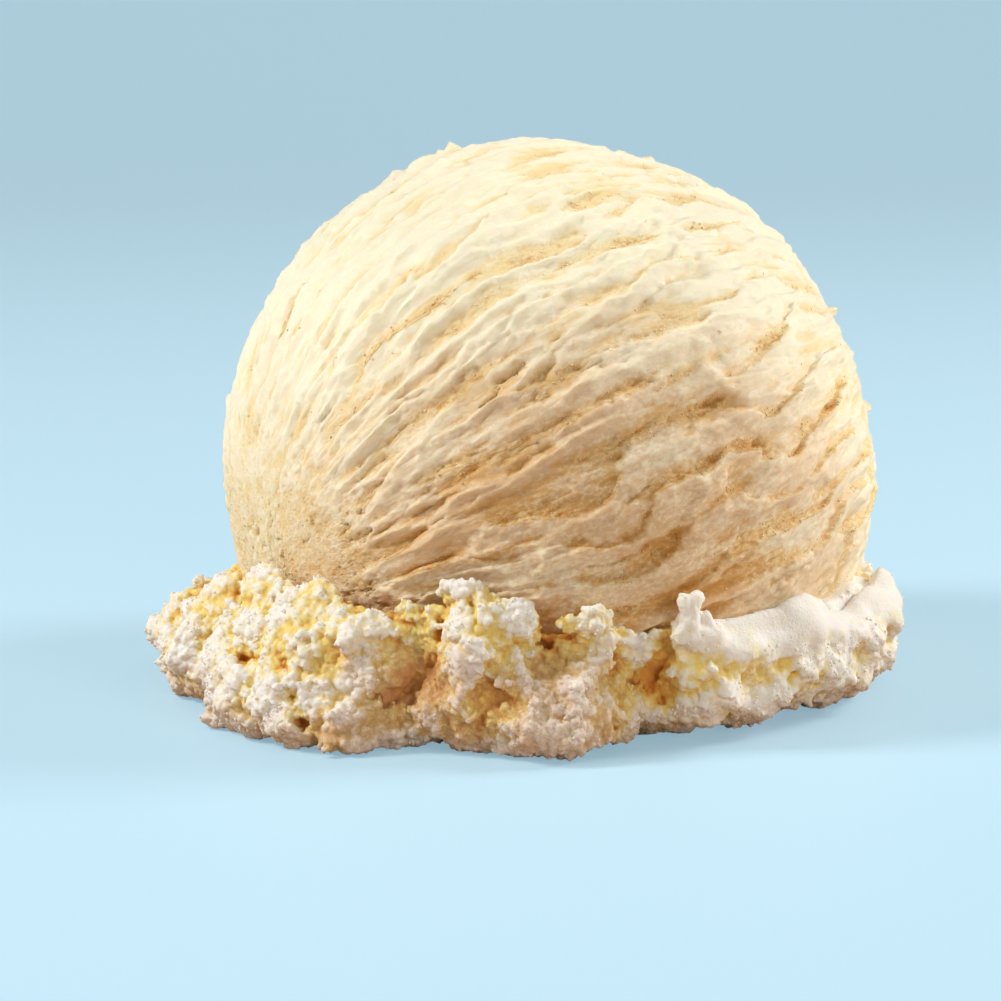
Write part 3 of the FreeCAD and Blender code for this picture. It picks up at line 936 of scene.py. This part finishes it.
def crumbly_skin(skirt, skin, crumbs):
    """The skin is first cut finer, then raised by its crumbs, which are low where the cream has melted."""
    tree = skirt.tree
    finer = node(tree, "GeometryNodeSubdivideMesh", named={"Mesh": skin, "Level": 1})
    raised_by = crumbs * blend(skirt.film, 1.0, 0.05) * blend(skirt.melted, 1.0, 0.5)
    x, y, z = xyz(skirt.here + node(tree, "GeometryNodeInputNormal") * (raised_by * MM))
    above_foot = joined(tree, x, y, z.math("MAXIMUM", skirt.given["Foot"] * MM))
    return node(tree, "GeometryNodeSetPosition", named={"Geometry": finer, "Position": above_foot})


# %% The tree of one piece of the skirt
def depth_shade(skirt):
    """1 on the outside and 0 deep in: how far a point lies under the model and inside its outline."""
    tree = skirt.tree
    hull = node(tree, "GeometryNodeConvexHull", skirt.model)
    inside_hull = node(tree, "GeometryNodeProximity", output="Distance", target_element="FACES",
                       named={"Geometry": hull, "Sample Position": skirt.here}) * (1 / MM)
    # The colour by this paints shade into the hollows, over the cream's own tones.
    return smooth_step(skirt.signed_depth().math("MINIMUM", 0.3) - inside_hull * 0.25, -2.5, -0.1)


def painted_skirt_shade(skirt, shade):
    """Painted shade: darker at the foot, on what faces down, and on the side that lies in the ball's shade.
    """
    given = skirt.given
    downward = xyz(node(skirt.tree, "GeometryNodeInputNormal"))[2] * -1.0
    # Painted shade low down and under what faces the floor.
    low = smooth_step(skirt.z, given["Damp Top"], 0.5) * 0.65 + smooth_step(downward, 0.0, 0.9) * 0.55
    shaded = smooth_step(dot(skirt.level, given["Shaded Side"]), 0.88, 0.99)
    shaded = shaded * smooth_step(skirt.z, 12.0, 7.5)
    damp = low + shaded * blend(shade, 0.95, 0.72)
    return (damp * (1.0 - skirt.film)).math("MINIMUM", 0.85)


def skirt_tree():
    tree, given = sized_tree("torn_skirt", SKIRT_INPUTS)
    skirt = SkirtPlaces(tree, given)
    crumbs = crumb_heights(skirt)
    skin = crumbly_skin(skirt, skirt_skin(skirt), crumbs)
    shade = depth_shade(skirt)
    # Crumb tops are paler and the gaps between them darker: partly the cream's own tone, partly painted
    # shade.
    relief = (shade + crumbs * 0.55 - 0.10).math("MAXIMUM", skirt.film)
    for name, value in (("relief", relief), ("damp", painted_skirt_shade(skirt, shade)), ("film", skirt.film)):
        skin = stored(tree, skin, "FLOAT", name, value)
    end_tree(tree, node(tree, "GeometryNodeSetShadeSmooth", skin), given["Material"])
    return tree


one_skirt = skirt_tree()

# %% The places of the pieces and of the peg
TEARS = (12, 58, 110, 162, 207, 247, 285, 326)      # azimuths, in degrees, where the skirt is torn
SKIRT_REACH = (24 * MM, 44 * MM)
SKIRT_TOP = 22 * MM
BOX_MARGIN = 4                                      # degrees past each tear
BOX_STEPS = 16


def sector_box(start, end):
    """The corners of the box round one piece."""
    span = end - start + 2 * BOX_MARGIN
    turns = [math.radians(start - BOX_MARGIN + span * step / BOX_STEPS) for step in range(BOX_STEPS + 1)]
    spots = [(reach * math.cos(turn), reach * math.sin(turn)) for turn in turns for reach in SKIRT_REACH]
    xs, ys = zip(*spots)
    return Vector((min(xs), min(ys), -1 * MM)), Vector((max(xs), max(ys), SKIRT_TOP))


def side_normal(azimuth):
    """The level direction square to a half plane from the axis, the way azimuths grow."""
    turn = math.radians(azimuth)
    return Vector((-math.sin(turn), math.cos(turn), 0.0))


def spot(azimuth, reach, height):
    """A point in millimetres from its azimuth in degrees, its distance from the axis and its height."""
    turn = math.radians(azimuth)
    return Vector((reach * math.cos(turn), reach * math.sin(turn), height))


PEG = {
    "Shoulder Left": spot(290.4, 33.7, 11.5), "Shoulder Right": spot(296, 33.7, 11.1),
    "Peg Foot": spot(291.3, 33.8, 11.5), "Peg Neck": spot(291.3, 34.0, 13.7),
    "Peg Left": spot(290.1, 34.1, 14.8), "Peg Right": spot(292.4, 34.1, 14.9),
    "Cone Foot": spot(294.9, 33.9, 12.1), "Cone Tip": spot(294.2, 34.0, 13.2),
}
FILM_SIDE = spot(322, 1.0, 0.0)
# The side of the skirt that is painted darker as shade, under the ball.
SHADED_SIDE = spot(259, 1.0, 0.0)
print(len(TEARS), "pieces, with a peg of", len(PEG_RODS), "rods")

# %% Grow the pieces of the skirt
SKIRT_CELL = 0.34
SMALLEST_PART = 900.0           # points in a bit that may stay
skirt_pieces = bpy.data.collections.new("skirt_pieces")
for index, start in enumerate(TEARS):
    end = TEARS[(index + 1) % len(TEARS)] + (360 if index + 1 == len(TEARS) else 0)
    low, high = sector_box(start, end)
    piece = grow("torn_skirt_%d" % (index + 1), one_skirt, {
        "Guide": guide, "Low Corner": low, "High Corner": high, "Cell": SKIRT_CELL,
        "Start Side": side_normal(start), "End Side": side_normal(end),
        "Film Side": FILM_SIDE, "Shaded Side": SHADED_SIDE,
        "Smallest Part": SMALLEST_PART, "Material": TORN_VANILLA, **PEG,
    })
    thinned(piece, PIECE_LIMIT)
    skirt_pieces.objects.link(piece)
    dressed(piece)
bpy.data.objects.remove(guide)

# %% [markdown]
# ## Frost grains and crumbs
#
# Close up, the crumbs of the skirt are rough with frost grains, and loose crumbs lie in the furrows of
# the ball. Both are one small shape repeated, so one tree scatters either: it drops points on a surface
# where the relief is right, sets a shape on each, turned and sized at random from a fixed seed, and makes
# the copies real. The shapes have few faces, for there are thousands of them.

# %% The two small shapes
def small_shape(name, rings, sides=5):
    """A closed blob from rings of (height, radius, lean), with a point at each end."""
    shape = bmesh.new()
    ends = [shape.verts.new((rings[i][2], 0.0, rings[i][0])) for i in (0, -1)]
    loops = [[shape.verts.new((lean + radius * math.cos(math.tau * k / sides),
                               radius * math.sin(math.tau * k / sides), height)) for k in range(sides)]
             for height, radius, lean in rings[1:-1]]
    for k in range(sides):
        following = (k + 1) % sides
        shape.faces.new((ends[0], loops[0][following], loops[0][k]))
        shape.faces.new((ends[1], loops[-1][k], loops[-1][following]))
        for lower, upper in zip(loops, loops[1:]):
            shape.faces.new((lower[k], lower[following], upper[following], upper[k]))
    mesh = bpy.data.meshes.new(name)
    shape.to_mesh(mesh)
    shape.free()
    holder = bpy.data.objects.new(name, mesh)
    bpy.context.scene.collection.objects.link(holder)
    print(name, "has", len(mesh.polygons), "faces")
    return holder


grain_shape = small_shape("grain_shape", ((-0.9, 0, 0), (-0.4, 0.8, 0), (0.45, 0.7, 0.1), (1.0, 0, 0.2)))
crumb_shape = small_shape("crumb_shape", ((-0.7, 0, 0), (0.0, 0.9, 0), (0.7, 0, 0.15)))

# %% The sizes of what is scattered
SCATTER_INPUTS = (
    ("Surface", "NodeSocketCollection", None), ("Shape", "NodeSocketObject", None),
    ("Density", "NodeSocketFloat", 1.0), ("Low Relief", "NodeSocketFloat", 0.5),
    ("High Relief", "NodeSocketFloat", 1.0), ("Lowest", "NodeSocketFloat", 0.5),
    ("Clear Of Ball", "NodeSocketFloat", 0.5), ("Smallest", "NodeSocketFloat", 0.1),
    ("Largest", "NodeSocketFloat", 0.3), ("Rarity", "NodeSocketFloat", 2.0),
    ("Tilt", "NodeSocketFloat", 0.5), ("Seed", "NodeSocketInt", 1),
    ("Ball Radius", "NodeSocketFloat", BALL_RADIUS), ("Ball Height", "NodeSocketFloat", BALL_CENTRE_HEIGHT),
    ("Material", "NodeSocketMaterial", None),
)
SIZE_SEED, TILT_SEED, SPIN_SEED = 5, 7, 9


# %% The tree that scatters them
def wanted_share(tree, given):
    """1 where the small shapes may lie and 0 where not: by relief, height, the ball, patches and melt."""
    place = node(tree, "GeometryNodeInputPosition") * (1 / MM)
    relief, film = (node(tree, "GeometryNodeInputNamedAttribute", data_type="FLOAT", named={"Name": name})
                    for name in ("relief", "film"))
    over_ball = length(place - joined(tree, 0.0, 0.0, given["Ball Height"])) - given["Ball Radius"]
    wanted = smooth_step(relief, given["Low Relief"], given["High Relief"])
    wanted = wanted * xyz(place)[2].math("GREATER_THAN", given["Lowest"])
    wanted = wanted * over_ball.math("GREATER_THAN", given["Clear Of Ball"])
    return wanted * smooth_step(noise(place, 3.0), 0.35, 0.6) * (1.0 - film)


def random_turn(tree, given, normal):
    """Upright on the surface, leaned over by the tilt and spun about itself."""
    lean = node(tree, "FunctionNodeRandomValue", data_type="FLOAT_VECTOR", named={
        "Min": (-1.0, -1.0, -1.0), "Max": (1.0, 1.0, 1.0), "Seed": TILT_SEED}) * given["Tilt"]
    upright = node(tree, "FunctionNodeAlignRotationToVector", axis="Z", named={"Vector": normal + lean})
    spin = node(tree, "FunctionNodeRandomValue", data_type="FLOAT_VECTOR", named={
        "Min": (0.0, 0.0, 0.0), "Max": (0.0, 0.0, math.tau), "Seed": SPIN_SEED})
    return node(tree, "FunctionNodeRotateRotation", upright, spin, rotation_space="LOCAL")


def scatter_tree():
    tree, given = sized_tree("scattered", SCATTER_INPUTS)
    surface = node(tree, "GeometryNodeCollectionInfo", named={"Collection": given["Surface"]})
    surface = node(tree, "GeometryNodeRealizeInstances", surface)
    points = node(tree, "GeometryNodeDistributePointsOnFaces", named={
        "Mesh": surface, "Density": wanted_share(tree, given) * given["Density"] / MM**2,
        "Seed": given["Seed"]}).socket.node
    chance = node(tree, "FunctionNodeRandomValue", data_type="FLOAT", output=1, named={"Seed": SIZE_SEED})
    size = blend(chance ** given["Rarity"], given["Smallest"], given["Largest"]) * MM
    shape = node(tree, "GeometryNodeObjectInfo", output="Geometry", named={"Object": given["Shape"]})
    copies = node(tree, "GeometryNodeInstanceOnPoints", named={
        "Points": Wire(tree, points.outputs["Points"]), "Instance": shape, "Scale": size,
        "Rotation": random_turn(tree, given, Wire(tree, points.outputs["Normal"]))})
    end_tree(tree, copies, given["Material"])
    return tree


# %% Scatter them
one_scatter = scatter_tree()
ball_surface = bpy.data.collections.new("ball_surface")
ball_surface.objects.link(scraped_ball)
for name, values in (
    ("frost_grains", {"Surface": skirt_pieces, "Shape": grain_shape, "Density": 2.4, "Low Relief": 0.45,
                      "High Relief": 1.0, "Lowest": 0.5, "Clear Of Ball": 0.6, "Smallest": 0.10,
                      "Largest": 0.26, "Rarity": 2.0, "Tilt": 0.8, "Seed": 3, "Material": FROST}),
    ("hollow_crumbs", {"Surface": ball_surface, "Shape": crumb_shape, "Density": 4.5, "Low Relief": 0.62,
                       "High Relief": 0.30, "Lowest": 9.0, "Clear Of Ball": -4.0, "Smallest": 0.08,
                       "Largest": 0.20, "Rarity": 1.5, "Tilt": 0.4, "Seed": 8, "Material": VANILLA_CRUMBS}),
):
    piece = grow(name, one_scatter, values)
    thinned(piece, PIECE_LIMIT)
    dressed(piece)
for holder in (grain_shape, crumb_shape):
    bpy.data.objects.remove(holder)
for gathered in (skirt_pieces, ball_surface):
    bpy.data.collections.remove(gathered)
